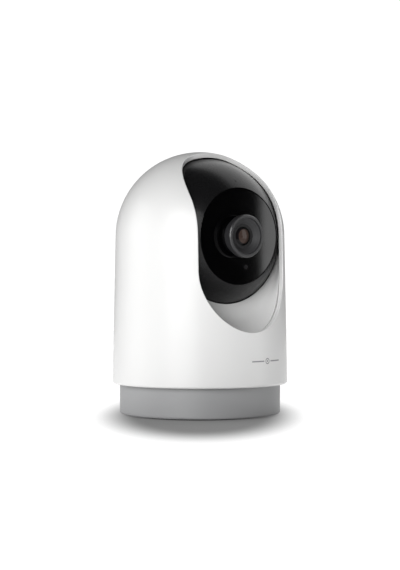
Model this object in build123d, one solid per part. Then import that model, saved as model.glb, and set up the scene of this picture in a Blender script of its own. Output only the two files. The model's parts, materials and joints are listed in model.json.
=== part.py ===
from build123d import *
import math
import os

# Indoor pan and tilt camera: a bullet-shaped housing turns on a round base, and a ball head nods in it.
# Millimetres.  Origin: centre of the face that it stands on.  +Z is up and the lens looks along -Y.

# ---- fits and gaps
RUN_GAP = 0.05          # radial gap of a running fit
MOVE_GAP = 0.3          # gap between parts that move past each other
SEAT_GAP = 0.1          # gap round a fixed part in its seat

# ---- outer shell
DOME_R = 37.7           # outside radius of the dome
SKIRT_FLARE = 1.3       # how much wider the skirt is at its lower rim
SHELL_WALL = 2.0
SKIRT_Z = 14.0          # height of the lower rim
RIM_FILLET = 0.9
SLOT_HALF = 23.1        # half the width of the front slot
SLOT_DROP = 41.6        # how far the slot reaches below the ball's centre
SLOT_FOOT_RISE = 27.0   # height of the half ellipse at the slot's foot
SLOT_HEAD_LEAN = 11.5   # the slot's head is cut this many degrees in front of the pan axis
SLOT_CORNER_WIDE = 15.0
SLOT_CORNER_LONG = 20.0
SLOT_FILLET = 0.3
SPEAKER_HOLE_R = 0.6
SPEAKER_HOLE_PITCH = 2.3

# ---- scoop liner behind the lower part of the slot
LINER_WALL = 1.4
LINER_DEPTH = 19.6      # its inner edge lies this far in front of the ball's centre
LINER_GAP = 0.4         # gap between the inner edge and the ball
LINER_TOP = 7.6         # the liner stops this far below the ball's centre
LINER_REVEAL = 0.4      # how far the liner stands back behind the slot's edge
LINER_LIFT = 2.0        # rise of its middle section above the slot's foot ellipse
LINER_SWELL = 0.4       # how much further it stays from the ball halfway to the slot's edge

# ---- base
BASE_INSET = 3.2        # the base is this much smaller than the skirt, in radius
BASE_WALL = 1.8
BASE_Z = 0.6            # lower edge of the base wall
BASE_FILLET = 0.9
DECK_Z = 15.0
DECK_THICK = 2.0
PLATE_Z = 0.8
PLATE_THICK = 2.0
FOOT_INNER_R = 27.0
FOOT_WIDTH = 4.6
FOOT_SUNK = 0.8         # depth of the rubber ring's groove
BASE_POST_R = 3.0
BASE_POST_AT = 29.3
PAD_HEIGHT = 1.8
BALLAST_THICK = 5.0
BALLAST_R = 26.0
BALLAST_BACK = 8.0
INSERT_R = 4.6
INSERT_LENGTH = 7.0
THREAD_R = 3.175        # quarter inch camera thread, major radius
INSERT_WALL = 2.4

# ---- pan bearing and gears
HUB_R = 8.0
HUB_BORE_R = 4.2
TABLE_LIFT = 2.4        # gap between the deck and the turntable, where the stops are
TABLE_THICK = 2.5
STOP_INNER_R = 20.0
STOP_OUTER_R = 25.0
STOP_WIDTH = 1.5
PAN_MODULE = 0.8
PAN_SUN_TEETH = 36
PAN_PINION_TEETH = 12
PAN_GEAR_THICK = 4.0
GEAR_SLACK = 0.22       # backlash at the pitch circle
CENTRE_SLACK = 0.1      # extra distance between two gear centres
PRESSURE_ANGLE = math.radians(20)

# ---- pan motor
PAN_MOTOR_R = 10.0
PAN_MOTOR_HEIGHT = 9.6
SHAFT_R = 1.2
EAR_THICK = 1.0
PAN_EAR_AT = 13.2

# ---- electronics bay between the turntable and the yoke's bridge
BAY_HEIGHT = 18.9
BRIDGE_THICK = 2.5
BRIDGE_HALF = 8.0
BALL_OVER_BRIDGE = 0.8
BOARD_THICK = 1.6
STANDOFF = 1.6
BOARD_BACK = 24.0
BOARD_FRONT = 8.0

# ---- ball head
BALL_GAP = 0.5          # gap between the ball and the inside of the dome
BALL_WALL = 1.8
HEAD_HALF = 27.5        # half the width over the ball's flat cheeks
HEAD_SPLIT = 9.0        # the front and rear covers meet this far behind the centre
HEAD_POST_R = 2.8
WINDOW_R = 21.1
WINDOW_DEPTH = 27.9     # front face of the black window, in front of the centre
WINDOW_THICK = 1.6
LEDGE_WIDTH = 1.9
BULKHEAD_THICK = 1.6
LED_ROOM = 2.1
MIC_ANGLE = 43.0
MIC_HOLE_R = 0.35
LAMP_SIZE = 2.9

# ---- tilt bearing and gears
TRUNNION_R = 4.0
TRUNNION_BORE_R = 2.5
BUSH_WALL = 1.2
GEAR_BAY = 3.5          # room for the tilt gears between the head's cheek and the yoke's arm
ARM_THICK = 2.5
TILT_MODULE = 0.6
TILT_GEAR_TEETH = 28
TILT_PINION_TEETH = 12
TILT_GEAR_THICK = 2.0
TILT_MOTOR_R = 7.5
TILT_MOTOR_LENGTH = 14.0

# ---- lens
HOOD_R = 9.3
HOOD_DEPTH = 33.8
HOOD_LIP = 1.3
HOOD_NECK_R = 7.7       # the hood is this narrow between the window and its wide front
HOOD_NECK_LENGTH = 2.7
BEZEL_R = 5.3
BARREL_R = 6.4
BARREL_FRONT = 31.0
BARREL_LENGTH = 16.8
GLASS_R = 4.6
HOLDER_HALF = 13.0
HOLDER_HEIGHT = 8.0
SENSOR_BOARD_DEPTH = 7.0
SENSOR_BOARD_THICK = 1.4
SENSOR_BOARD_HALF = 15.5
SENSOR_POST_X = 13.0
SENSOR_POST_Z = 11.0
FILTER_TRAVEL = 6.2
FILTER_HALF = 4.0

# ---- socket and button at the back of the base
SOCKET_WIDTH = 7.8
SOCKET_HEIGHT = 2.9
SOCKET_Z = 7.1
SOCKET_LENGTH = 6.0
USB_BOARD_THICK = 1.0
USB_BOARD_HALF = 17.0
USB_BOARD_FRONT = 16.0
USB_HEADER = 4.0        # depth of the cable header on the board's front edge
USB_HEADER_TOP = 3.2    # height of the header over the board's lower face
BUTTON_X = 14.0
BUTTON_R = 1.8
BUTTON_TRAVEL = 0.5
BUTTON_FLANGE_R = 2.6
BUTTON_FLANGE_THICK = 1.1

# ---- worked-out sizes
SKIRT_R = DOME_R + SKIRT_FLARE
BASE_R = SKIRT_R - BASE_INSET
BALL_R = DOME_R - SHELL_WALL - BALL_GAP
DECK_TOP = DECK_Z + DECK_THICK
TABLE_Z = DECK_TOP + TABLE_LIFT
TABLE_TOP = TABLE_Z + TABLE_THICK
HUB_TOP = TABLE_TOP + MOVE_GAP
SUN_TOP = HUB_TOP + PAN_GEAR_THICK
BRIDGE_Z = TABLE_TOP + BAY_HEIGHT
BRIDGE_TOP = BRIDGE_Z + BRIDGE_THICK
BALL_Z = BRIDGE_TOP + BALL_OVER_BRIDGE + BALL_R
PLATE_TOP = PLATE_Z + PLATE_THICK
PAN_CENTRE = PAN_MODULE * (PAN_SUN_TEETH + PAN_PINION_TEETH) / 2 + CENTRE_SLACK
TILT_CENTRE = TILT_MODULE * (TILT_GEAR_TEETH + TILT_PINION_TEETH) / 2 + CENTRE_SLACK
MOTOR_Z = SUN_TOP + 1.6
BOARD_Z = BRIDGE_Z - STANDOFF - BOARD_THICK
ARM_X = HEAD_HALF + GEAR_BAY
CHEEK_X = HEAD_HALF - BALL_WALL
SLOT_FOOT_MID = SLOT_DROP - SLOT_FOOT_RISE
BULKHEAD_DEPTH = WINDOW_DEPTH - WINDOW_THICK - LED_ROOM - BULKHEAD_THICK
SENSOR_FACE = SENSOR_BOARD_DEPTH + SENSOR_BOARD_THICK
BARREL_BACK = BARREL_FRONT - BARREL_LENGTH
SHELL_POST_R = 3.0
SHELL_POST_ANGLES = (45, 135, 225, 315)
BASE_POST_ANGLES = (30, 150, 270)
SPEAKER_Z = TABLE_TOP + 10.1
SPEAKER_R = 9.5
SPEAKER_Y = 27.0

UP = (Align.CENTER, Align.CENTER, Align.MIN)
# Optical parts are drawn as (right, up, depth) and turned to look out of the head.
AIM = Pos(0, 0, BALL_Z) * Rot(90, 0, 0)
# Tilt gears and trunnions are drawn on an upright axis and laid along +X.
ACROSS = Pos(0, 0, BALL_Z) * Rot(0, 90, 0)


# ------------------------------------------------------------------ building blocks
def rod(radius, low, high, x=0, y=0):
    """Upright cylinder from one height to another."""
    return Pos(x, y, low) * Cylinder(radius, high - low, align=UP)


def tube(outer, inner, low, high, x=0, y=0):
    return rod(outer, low, high, x, y) - rod(inner, low, high, x, y)


def block(x0, x1, y0, y1, z0, z1):
    return Pos((x0 + x1) / 2, (y0 + y1) / 2, (z0 + z1) / 2) * Box(x1 - x0, y1 - y0, z1 - z0)


def group(pieces):
    """Several separate solids that share one node."""
    return Compound([piece.solid() for piece in pieces])


def around(radius, angles):
    """Points on a circle, in degrees from +X."""
    return [(radius * math.cos(math.radians(a)), radius * math.sin(math.radians(a))) for a in angles]


def screw(shank_r, shank_length, head_r, head_height):
    """Pan head screw that points up, with its head under z = 0 and a cross recess."""
    body = rod(shank_r, 0, shank_length) + rod(head_r, -head_height, 0)
    body = chamfer(body.edges().group_by(Axis.Z)[0], head_height * 0.3)
    arm = head_r * 0.6
    recess = block(-arm, arm, -arm / 4, arm / 4, -head_height, -head_height / 2)
    return body - recess - Rot(0, 0, 90) * recess


def cap_ball(radius, bulge):
    """Radius of the sphere whose cap is this wide and this high."""
    return (radius ** 2 + bulge ** 2) / (2 * bulge)


def lens(radius, back, front, bulge_back, bulge_front):
    """Round glass with two domed faces; back and front are the depths of its edge."""
    ahead = cap_ball(radius, bulge_front)
    behind = cap_ball(radius, bulge_back)
    glass = rod(radius, back - bulge_back, front + bulge_front)
    glass &= Pos(0, 0, front + bulge_front - ahead) * Sphere(ahead)
    return AIM * (glass & Pos(0, 0, back - bulge_back + behind) * Sphere(behind))


def tooth_angle(radius, pitch_r, half_thick):
    """Half the angle that an involute tooth spans at a radius."""
    base_r = pitch_r * math.cos(PRESSURE_ANGLE)
    lean = math.acos(min(1, base_r / radius))
    roll = math.tan(PRESSURE_ANGLE) - PRESSURE_ANGLE
    return half_thick + roll - (math.tan(lean) - lean)


def gear(module, teeth, thick, phase=0):
    """Spur gear with involute teeth on the z axis, from z = 0 up."""
    pitch_r = module * teeth / 2
    root_r = pitch_r - 1.15 * module
    tip_r = pitch_r + 0.8 * module
    half_thick = math.pi / teeth / 2 - GEAR_SLACK / 2 / pitch_r
    base_r = max(pitch_r * math.cos(PRESSURE_ANGLE), root_r + 0.05)
    radii = [root_r] + [base_r + (tip_r - base_r) * step / 3 for step in range(4)]
    points = []
    for tooth in range(teeth):
        middle = 2 * math.pi * tooth / teeth + math.radians(phase)
        rising = [(r, middle - tooth_angle(max(r, base_r), pitch_r, half_thick)) for r in radii]
        falling = [(r, middle + tooth_angle(max(r, base_r), pitch_r, half_thick)) for r in reversed(radii)]
        points += [(r * math.cos(a), r * math.sin(a)) for r, a in rising + falling]
    return extrude(make_face(Polyline(*points, close=True)), thick)


# ------------------------------------------------------------------ shell shape
def lean_angle(inset):
    """Angle above the dome's equator at which the skirt's taper meets the dome."""
    drop = BALL_Z - SKIRT_Z
    foot = SKIRT_R - inset
    return math.acos((DOME_R - inset) / math.hypot(foot, drop)) - math.atan2(drop, foot)


def wall_radius(z, inset):
    """Radius of the tapered skirt at a height, inset from its outside."""
    return SKIRT_R - inset - (z - SKIRT_Z) * math.tan(lean_angle(inset))


def dome(inset):
    """Solid bullet: the shell's outside moved in by inset, down to the lower rim."""
    radius = DOME_R - inset
    lean = lean_angle(inset)
    middle = (lean + math.pi / 2) / 2
    meet = (radius * math.cos(lean), BALL_Z + radius * math.sin(lean))
    outline = Polyline((0, BALL_Z + radius), (0, SKIRT_Z), (SKIRT_R - inset, SKIRT_Z), meet)
    outline += ThreePointArc(
        meet,
        (radius * math.cos(middle), BALL_Z + radius * math.sin(middle)),
        (0, BALL_Z + radius),
    )
    return revolve(Plane.XZ * make_face(outline), Axis.Z)


def slot_cutter():
    """The front slot: its foot goes straight along the lens axis, its head is square to the dome."""
    foot = Pos(0, BALL_Z - SLOT_FOOT_MID / 2) * Rectangle(2 * SLOT_HALF, SLOT_FOOT_MID)
    foot += Pos(0, BALL_Z - SLOT_FOOT_MID) * Ellipse(SLOT_HALF, SLOT_FOOT_RISE)
    lean = math.radians(SLOT_HEAD_LEAN)
    upward = Plane(origin=(0, 0, BALL_Z), x_dir=(1, 0, 0), z_dir=(0, -math.sin(lean), math.cos(lean)))
    inner = SLOT_HALF - SLOT_CORNER_WIDE
    front = SLOT_CORNER_LONG + DOME_R
    head = Pos(0, -front / 2) * Rectangle(2 * inner, front)
    head += Pos(0, -(SLOT_CORNER_LONG + front) / 2) * Rectangle(2 * SLOT_HALF, DOME_R)
    for side in (-inner, inner):
        head += Pos(side, -SLOT_CORNER_LONG) * Ellipse(SLOT_CORNER_WIDE, SLOT_CORNER_LONG)
    return extrude(Plane.XZ * foot, SKIRT_R) + extrude(upward * head, SKIRT_R)


def on_slot_rim(edge):
    """True for the slot's long edges on the shell's outer face."""
    point = edge.position_at(0.5)
    if point.Y > 0 or abs(point.X) > SLOT_HALF + 0.1 or point.Z < SKIRT_Z + SLOT_FILLET * 2:
        return False
    if point.Z < BALL_Z:
        return math.hypot(point.X, point.Y) > wall_radius(point.Z, SHELL_WALL / 2)
    return math.dist(point, (0, 0, BALL_Z)) > DOME_R - SHELL_WALL / 2


# ------------------------------------------------------------------ housing: shell and liner
def outer_shell():
    """White bullet shell with the front slot, speaker holes at the back and four screw posts."""
    solid = dome(0)
    rim = solid.edges().filter_by(GeomType.CIRCLE).group_by(Axis.Z)[0]
    shell = fillet(rim, RIM_FILLET) - dome(SHELL_WALL)
    shell -= slot_cutter()
    shell = fillet([edge for edge in shell.edges() if on_slot_rim(edge)], SLOT_FILLET)
    shell -= speaker_holes()
    inside = dome(SHELL_WALL / 2)
    for x, y in around(shell_post_at(), SHELL_POST_ANGLES):
        post = rod(SHELL_POST_R, TABLE_TOP, TABLE_TOP + 10, x, y)
        shell += post & inside
        shell -= rod(1.0, TABLE_TOP, TABLE_TOP + 8, x, y)
    return shell


def shell_post_at():
    """Distance of the shell's screw posts from the pan axis."""
    return wall_radius(TABLE_TOP, SHELL_WALL) - SHELL_POST_R + 0.4


def speaker_holes():
    """Three rings of small holes round one in the middle, drilled along Y."""
    holes = []
    for ring in range(4):
        count = max(1, 6 * ring)
        for x, z in around(ring * SPEAKER_HOLE_PITCH, [360 * n / count for n in range(count)]):
            holes.append(Pos(x, SPEAKER_Y, SPEAKER_Z + z) * Rot(-90, 0, 0) * rod(SPEAKER_HOLE_R, 0, SKIRT_R))
    return holes


def liner_space(grow):
    """Scoop between the ball and the slot's edge, grown outwards by a wall."""
    edge = math.sqrt((BALL_R + LINER_GAP) ** 2 - LINER_DEPTH ** 2)
    side_depth = math.sqrt((DOME_R - SHELL_WALL) ** 2 - SLOT_HALF ** 2)
    half = SLOT_HALF + LINER_REVEAL
    rise = SLOT_FOOT_RISE + LINER_REVEAL
    drop = SLOT_FOOT_MID - LINER_LIFT
    middle = (LINER_DEPTH + side_depth) / 2
    swell = math.sqrt((BALL_R + LINER_GAP) ** 2 - middle ** 2) + LINER_SWELL
    sections = [
        (LINER_DEPTH, 0, edge, edge),
        (middle, drop / 2, swell, (edge + rise) / 2),
        (side_depth, drop, half, rise - LINER_LIFT),
        (DOME_R - 0.7, SLOT_FOOT_MID, half, rise),
    ]
    return loft([
        Plane.XZ.offset(depth) * Pos(0, BALL_Z - down) * Ellipse(wide + grow, high + grow)
        for depth, down, wide, high in sections
    ])


def scoop_liner():
    """White concave surround between the ball's lower edge and the slot's lower rim."""
    liner = liner_space(LINER_WALL) - liner_space(0)
    liner &= dome(SHELL_WALL + SEAT_GAP)
    return liner & block(-DOME_R, DOME_R, -DOME_R, -LINER_DEPTH, 0, BALL_Z - LINER_TOP)


# ------------------------------------------------------------------ base
def base_shell():
    """Grey base: a wall and a deck, the bearing hub, three screw posts, one stop."""
    shell = rod(BASE_R, BASE_Z, DECK_TOP)
    shell = fillet(shell.edges().group_by(Axis.Z)[0], BASE_FILLET)
    shell = fillet(shell.edges().group_by(Axis.Z)[-1], BASE_FILLET)
    shell -= rod(BASE_R - BASE_WALL, 0, DECK_Z)
    shell += rod(HUB_R, DECK_Z, HUB_TOP)
    shell -= rod(HUB_BORE_R, 0, HUB_TOP)
    for x, y in around(BASE_POST_AT, BASE_POST_ANGLES):
        shell += rod(BASE_POST_R, PLATE_TOP + PAD_HEIGHT, DECK_Z, x, y)
        shell -= rod(1.0, 0, DECK_Z - 3, x, y)
    for x, y in around(gear_screw_at(), BASE_POST_ANGLES):
        shell -= rod(0.8, DECK_Z + 1, HUB_TOP, x, y)
    shell += block(-STOP_WIDTH / 2, STOP_WIDTH / 2, -STOP_OUTER_R, -STOP_INNER_R, DECK_TOP, TABLE_Z - MOVE_GAP * 2)
    inlet = RectangleRounded(SOCKET_WIDTH + 3.2, SOCKET_HEIGHT + 3.2, 2.2)
    shell -= extrude(Plane.XZ * Pos(0, SOCKET_Z) * inlet, -BASE_R)
    shell -= Pos(BUTTON_X, 0, SOCKET_Z) * Rot(-90, 0, 0) * rod(BUTTON_R + RUN_GAP, 0, BASE_R)
    return shell


def gear_screw_at():
    return (HUB_R + HUB_BORE_R) / 2


def base_plate():
    """Floor of the base, with the rubber ring's groove, the thread insert's boss and the board's posts."""
    plate = rod(BASE_R - BASE_WALL - SEAT_GAP, PLATE_Z, PLATE_TOP)
    plate -= tube(FOOT_INNER_R + FOOT_WIDTH, FOOT_INNER_R, PLATE_Z, PLATE_Z + FOOT_SUNK)
    plate += rod(INSERT_R + INSERT_WALL, PLATE_Z, PLATE_Z + INSERT_LENGTH)
    plate -= rod(INSERT_R, PLATE_Z, PLATE_Z + INSERT_LENGTH)
    for x, y in around(BASE_POST_AT, BASE_POST_ANGLES):
        plate += rod(BASE_POST_R, PLATE_TOP, PLATE_TOP + PAD_HEIGHT, x, y)
        plate -= rod(2.1, PLATE_Z + FOOT_SUNK, PLATE_TOP + 0.3, x, y)
        plate -= rod(1.1, PLATE_TOP, PLATE_TOP + PAD_HEIGHT, x, y)
    for x in (-12, 12):
        plate += rod(2.2, PLATE_TOP, usb_board_z(), x, USB_BOARD_FRONT + 4)
    return plate


def foot_ring():
    """Rubber ring that the camera stands on, with rounded edges."""
    ring = tube(FOOT_INNER_R + FOOT_WIDTH - SEAT_GAP, FOOT_INNER_R + SEAT_GAP, 0, PLATE_Z + FOOT_SUNK)
    return fillet(ring.edges().group_by(Axis.Z)[0], 0.3)


def tripod_insert():
    """Brass insert with a blind thread in the middle of the floor."""
    insert = tube(INSERT_R, THREAD_R, PLATE_Z, PLATE_Z + INSERT_LENGTH)
    return insert + rod(INSERT_R, PLATE_Z + INSERT_LENGTH, PLATE_Z + INSERT_LENGTH + 0.8)


def ballast_plate():
    """Steel weight that keeps the camera from tipping, clear of the board at the back."""
    plate = rod(BALLAST_R, PLATE_TOP, PLATE_TOP + BALLAST_THICK)
    plate -= rod(INSERT_R + INSERT_WALL + MOVE_GAP, PLATE_TOP, PLATE_TOP + BALLAST_THICK)
    return plate & block(-BASE_R, BASE_R, -BASE_R, BALLAST_BACK, 0, DECK_Z)


def base_screws():
    return group([
        Pos(x, y, PLATE_TOP + 0.3) * screw(1.0, 8, 2.0, 1.2) for x, y in around(BASE_POST_AT, BASE_POST_ANGLES)
    ])


def pan_sun_gear():
    """Gear fixed on top of the hub: the turntable's motor walks round it, and it holds the turntable down."""
    wheel = Pos(0, 0, HUB_TOP) * gear(PAN_MODULE, PAN_SUN_TEETH, PAN_GEAR_THICK)
    wheel -= rod(HUB_BORE_R, HUB_TOP, SUN_TOP)
    return wheel - [rod(0.9, HUB_TOP, SUN_TOP, x, y) for x, y in around(gear_screw_at(), BASE_POST_ANGLES)]


def gear_screws():
    turned = [
        Pos(x, y, SUN_TOP) * Rot(180, 0, 0) * screw(0.8, 8, 1.4, 0.8)
        for x, y in around(gear_screw_at(), BASE_POST_ANGLES)
    ]
    return group(turned)


def usb_board_z():
    return SOCKET_Z - SOCKET_HEIGHT / 2 - USB_BOARD_THICK


def usb_board():
    """Small board behind the inlet, with its cable header."""
    low = usb_board_z()
    back = BASE_R - BASE_WALL - 1
    board = block(-USB_BOARD_HALF, USB_BOARD_HALF, USB_BOARD_FRONT, back, low, low + USB_BOARD_THICK)
    board &= rod(BASE_R - BASE_WALL - 0.5, low, low + USB_BOARD_THICK)
    side = BUTTON_FLANGE_R + MOVE_GAP
    board -= block(BUTTON_X - side, BUTTON_X + side, button_stop_y(), BASE_R, low - 1, SOCKET_Z)
    header = block(-4, 4, USB_BOARD_FRONT, USB_BOARD_FRONT + USB_HEADER, low, low + USB_HEADER_TOP)
    return board + header


def usb_socket():
    """Metal shell of the power inlet with its tongue, open to the back."""
    low = SOCKET_Z - SOCKET_HEIGHT / 2
    back = BASE_R - BASE_WALL - SEAT_GAP * 4
    front = back - SOCKET_LENGTH
    half = SOCKET_WIDTH / 2
    shell = block(-half, half, front, back, low, low + SOCKET_HEIGHT)
    shell = fillet(shell.edges().filter_by(Axis.Y), 0.7)
    shell -= block(-half + 0.4, half - 0.4, front + 0.6, back, low + 0.4, low + SOCKET_HEIGHT - 0.4)
    return shell + block(-half + 1.2, half - 1.2, front + 0.4, back - 1, SOCKET_Z - 0.35, SOCKET_Z + 0.35)


def button_flange_y():
    """Front face of the button's flange, just behind the base wall."""
    reach = BUTTON_X + BUTTON_FLANGE_R
    return math.sqrt((BASE_R - BASE_WALL) ** 2 - reach ** 2) - MOVE_GAP


def button_stop_y():
    """Deepest point that the button's flange needs when it is pressed."""
    return button_flange_y() - BUTTON_FLANGE_THICK - BUTTON_TRAVEL - MOVE_GAP


def reset_button():
    """Small round button in the back of the base, kept in by a flange."""
    flange = button_flange_y()
    tip = math.sqrt(BASE_R ** 2 - (BUTTON_X + BUTTON_R) ** 2) - 0.1
    place = Pos(BUTTON_X, 0, SOCKET_Z) * Rot(-90, 0, 0)
    cap = rod(BUTTON_R, flange, tip)
    cap = chamfer(cap.edges().group_by(Axis.Z)[-1], 0.3)
    return place * (cap + rod(BUTTON_FLANGE_R, flange - BUTTON_FLANGE_THICK, flange))


def reset_switch():
    """Tact switch on the board, behind the button."""
    face = button_stop_y()
    low = usb_board_z() + USB_BOARD_THICK
    body = block(BUTTON_X - 3, BUTTON_X + 3, face - 3.5, face - 0.6, low, low + 4)
    return body + Pos(BUTTON_X, face - 1, SOCKET_Z) * Rot(-90, 0, 0) * rod(1.0, 0, 1)


def power_harness():
    """Supply lead from the small board up through the hub to the main board."""
    top = BOARD_Z - 1.4 - MOVE_GAP
    level = DECK_Z - 3
    start = USB_BOARD_FRONT + USB_HEADER / 2
    corners = [(0, start, usb_board_z() + USB_HEADER_TOP), (0, start, level), (0, 0, level), (0, 0, top)]
    path = FilletPolyline(*corners, radius=3)
    return sweep(Plane(path @ 0, z_dir=path % 0) * Circle(1.2), path)


# ------------------------------------------------------------------ housing: turntable, yoke, pan drive
def yoke_screw_points():
    return [(x, y) for x in (-ARM_X + 2.5, ARM_X - 2.5) for y in (-5, 5)]


def turntable():
    """Plate that carries the housing and turns on the hub, with motor posts, speaker wall and stop."""
    plate = rod(wall_radius(TABLE_TOP, SHELL_WALL) - SEAT_GAP, TABLE_Z, TABLE_TOP)
    for x in (-PAN_EAR_AT, PAN_EAR_AT):
        plate += rod(2.6, TABLE_TOP, MOTOR_Z, x, -PAN_CENTRE)
        plate -= rod(0.9, TABLE_TOP, MOTOR_Z, x, -PAN_CENTRE)
    plate += block(-11, 11, SPEAKER_Y - 1.6, SPEAKER_Y, TABLE_TOP, SPEAKER_Z + 3)
    plate -= speaker_rod(5.7, SPEAKER_Y - 2, SPEAKER_Y)
    plate += block(
        -STOP_WIDTH / 2, STOP_WIDTH / 2, STOP_INNER_R, STOP_OUTER_R, DECK_TOP + MOVE_GAP * 2, TABLE_Z)
    plate -= rod(HUB_R + RUN_GAP, 0, TABLE_TOP)
    for x, y in around(shell_post_at(), SHELL_POST_ANGLES) + yoke_screw_points():
        plate -= rod(1.1, TABLE_Z, TABLE_TOP, x, y)
    return plate


def shell_screws():
    return group([
        Pos(x, y, TABLE_Z) * screw(1.0, TABLE_THICK + 6, 1.9, 1.2)
        for x, y in around(shell_post_at(), SHELL_POST_ANGLES)
    ])


def board_screw_points():
    return [(-20, 0), (20, 0)]


def yoke():
    """Fork that carries the ball: two arms, a bridge between them, feet on the turntable."""
    fork = block(-ARM_X, ARM_X, -BRIDGE_HALF, BRIDGE_HALF, BRIDGE_Z, BRIDGE_TOP)
    for side in (-1, 1):
        low, high = sorted((side * ARM_X, side * (ARM_X + ARM_THICK)))
        fork += block(low, high, -BRIDGE_HALF, BRIDGE_HALF, TABLE_TOP, BALL_Z)
        fork += ACROSS * rod(BRIDGE_HALF, low, high)
        low, high = sorted((side * (ARM_X - 6), side * ARM_X))
        fork += block(low, high, -BRIDGE_HALF, BRIDGE_HALF, TABLE_TOP, TABLE_TOP + 2.4)
    fork -= ACROSS * rod(TRUNNION_R + RUN_GAP + BUSH_WALL, -DOME_R, DOME_R)
    for x, y in yoke_screw_points():
        fork -= rod(1.0, TABLE_TOP, TABLE_TOP + 2.4, x, y)
    for x, y in board_screw_points():
        fork += rod(2.2, BRIDGE_Z - STANDOFF, BRIDGE_Z, x, y)
        fork -= rod(0.8, BRIDGE_Z - STANDOFF, BRIDGE_TOP - 0.5, x, y)
    return fork - block(-DOME_R, -ARM_X + 0.5, -1.6, 1.6, head_cable_z() - 1.4, head_cable_z() + 1.4)


def yoke_screws():
    return group([Pos(x, y, TABLE_Z) * screw(1.0, TABLE_THICK + 2, 1.9, 1.2) for x, y in yoke_screw_points()])


def both_sides(piece):
    """The piece drawn on +X and its copy on -X."""
    return group([piece, mirror(piece, about=Plane.YZ)])


def trunnion_bushes():
    bore = TRUNNION_R + RUN_GAP
    return both_sides(ACROSS * tube(bore + BUSH_WALL, bore, ARM_X, ARM_X + ARM_THICK))


def tilt_gear_x():
    return ARM_X - 0.7 - TILT_GEAR_THICK


def tilt_gear():
    """Gear fixed inside the yoke's right arm, round the trunnion: the head's motor walks round it."""
    wheel = Pos(0, 0, tilt_gear_x()) * gear(TILT_MODULE, TILT_GEAR_TEETH, TILT_GEAR_THICK, 90)
    wheel += rod(TRUNNION_R + 2.5, tilt_gear_x(), ARM_X)
    return ACROSS * (wheel - rod(TRUNNION_R + 0.6, 0, ARM_X))


def pan_motor():
    """Stepper motor that stands on two posts, shaft down."""
    motor = rod(PAN_MOTOR_R, MOTOR_Z, MOTOR_Z + PAN_MOTOR_HEIGHT, 0, -PAN_CENTRE)
    motor = chamfer(motor.edges().group_by(Axis.Z)[-1], 0.5)
    reach = PAN_EAR_AT + 2.6
    motor += block(-reach, reach, -PAN_CENTRE - 3, -PAN_CENTRE + 3, MOTOR_Z, MOTOR_Z + EAR_THICK)
    motor -= rod(SHAFT_R + RUN_GAP, MOTOR_Z, MOTOR_Z + 5.5, 0, -PAN_CENTRE)
    return motor - [rod(1.0, MOTOR_Z, MOTOR_Z + EAR_THICK, x, -PAN_CENTRE) for x in (-PAN_EAR_AT, PAN_EAR_AT)]


def pan_motor_screws():
    return group([
        Pos(x, -PAN_CENTRE, MOTOR_Z + EAR_THICK) * Rot(180, 0, 0) * screw(0.9, EAR_THICK + 4, 1.7, 1.0)
        for x in (-PAN_EAR_AT, PAN_EAR_AT)
    ])


def pan_pinion():
    """Pinion on the pan motor's shaft."""
    wheel = gear(PAN_MODULE, PAN_PINION_TEETH, PAN_GEAR_THICK, 90 + 180 / PAN_PINION_TEETH)
    shaft = rod(SHAFT_R, 0, MOTOR_Z - HUB_TOP + 5)
    return Pos(0, -PAN_CENTRE, HUB_TOP) * (wheel + shaft)


# ------------------------------------------------------------------ housing: electronics
def head_cable_z():
    return BOARD_Z - 1.7


def main_board():
    """Main circuit board under the bridge, with two cable headers on its underside."""
    board = block(-28, 28, -BOARD_FRONT, BOARD_BACK, BOARD_Z, BOARD_Z + BOARD_THICK)
    board &= rod(33, BOARD_Z, BOARD_Z + BOARD_THICK)
    board -= [rod(0.9, BOARD_Z, BOARD_Z + BOARD_THICK, x, y) for x, y in board_screw_points()]
    board += block(-3, 3, -3, 3, BOARD_Z - 1.4, BOARD_Z)
    return board + block(-26, -22, 3, 9, BOARD_Z - 1.4, BOARD_Z)


def board_screws():
    return group([Pos(x, y, BOARD_Z) * screw(0.8, BOARD_THICK + 2, 1.5, 0.9) for x, y in board_screw_points()])


def main_chip():
    return block(-7, 7, 10.5, 21.5, BOARD_Z + BOARD_THICK, BOARD_Z + BOARD_THICK + 1.2)


def shield_can():
    """Tin lid over the processor."""
    low = BOARD_Z + BOARD_THICK
    can = block(-12, 12, 9, 23, low, low + 2.8)
    can = fillet(can.edges().filter_by(Axis.Z), 1.0)
    return can - block(-11.6, 11.6, 9.4, 22.6, low, low + 2.4)


def wifi_antenna():
    """Thin antenna board that follows the inside of the shell's back."""
    low = BRIDGE_TOP + 2
    high = low + 8
    outer = wall_radius(high, SHELL_WALL) - SEAT_GAP
    return tube(outer, outer - 0.5, low, high) & block(-11, 11, 0, DOME_R, low, high)


def speaker_rod(radius, near, far):
    """Cylinder on the speaker's axis, which points out of the back."""
    return Pos(0, 0, SPEAKER_Z) * Rot(-90, 0, 0) * rod(radius, near, far)


def speaker():
    """Round speaker with its magnet through the wall that holds it."""
    body = speaker_rod(SPEAKER_R, SPEAKER_Y, SPEAKER_Y + 4) + speaker_rod(5.5, SPEAKER_Y - 2.4, SPEAKER_Y)
    body -= speaker_rod(SPEAKER_R - 1.6, SPEAKER_Y + 3.2, SPEAKER_Y + 4)
    return body + speaker_rod(3, SPEAKER_Y + 3, SPEAKER_Y + 3.8)


def speaker_gasket():
    ring = speaker_rod(SPEAKER_R - 1, SPEAKER_Y + 4, SKIRT_R) - speaker_rod(SPEAKER_R - 2.4, SPEAKER_Y, SKIRT_R)
    return ring & dome(SHELL_WALL + SEAT_GAP)


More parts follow.
